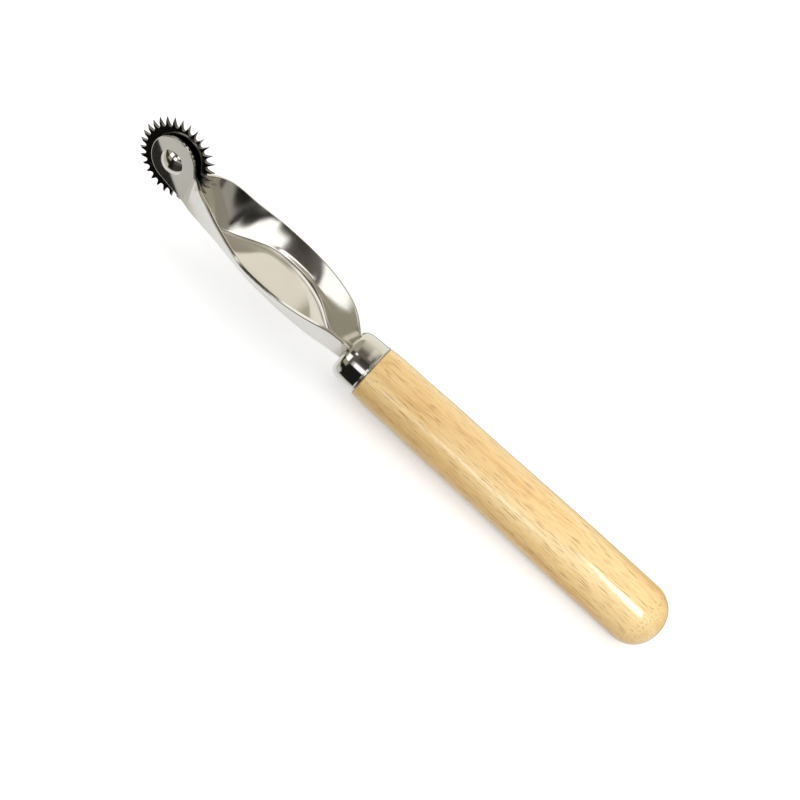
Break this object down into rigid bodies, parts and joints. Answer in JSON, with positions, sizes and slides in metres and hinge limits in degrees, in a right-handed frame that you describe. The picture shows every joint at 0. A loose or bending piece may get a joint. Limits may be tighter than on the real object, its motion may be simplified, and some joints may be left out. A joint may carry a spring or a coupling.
{
  "type": "tracing wheel",
  "caption": "Sewing tracing wheel: a toothed wheel riveted between the ears of a folded sheet neck with a finger rest, in a ferruled wooden handle.",
  "frame": {"origin": "on the handle's axis, where the straight butt section meets the rounded butt end", "axes": "+X along the handle towards the wheel, +Z to the open side of the finger rest, +Y along the wheel's axle towards the rivet's domed head"},
  "size_m": [0.1563, 0.021, 0.0245],
  "materials": {
    "lacquered_wood": "clear gloss lacquer over pale wood with short dark pores along the grain",
    "nickel_ferrule": "polished nickel plate",
    "nickel_neck": "bright nickel plate on folded sheet steel, slightly grainy in the bends",
    "nickel_rivet": "polished nickel plate",
    "wheel_steel": "dark nickel plate on stamped steel"
  },
  "bodies": {
    "frame": {"handle": "lacquered_wood", "ferrule": "nickel_ferrule", "neck": "nickel_neck", "axle_rivet": "nickel_rivet"},
    "wheel": {"wheel": "wheel_steel"}
  },
  "joints": [
    {"name": "wheel_spin", "type": "hinge", "parent": "frame", "child": "wheel", "pos_m": [0.1399, 0, 0.0074], "axis": [0, 1, 0], "continuous": true}
  ]
}
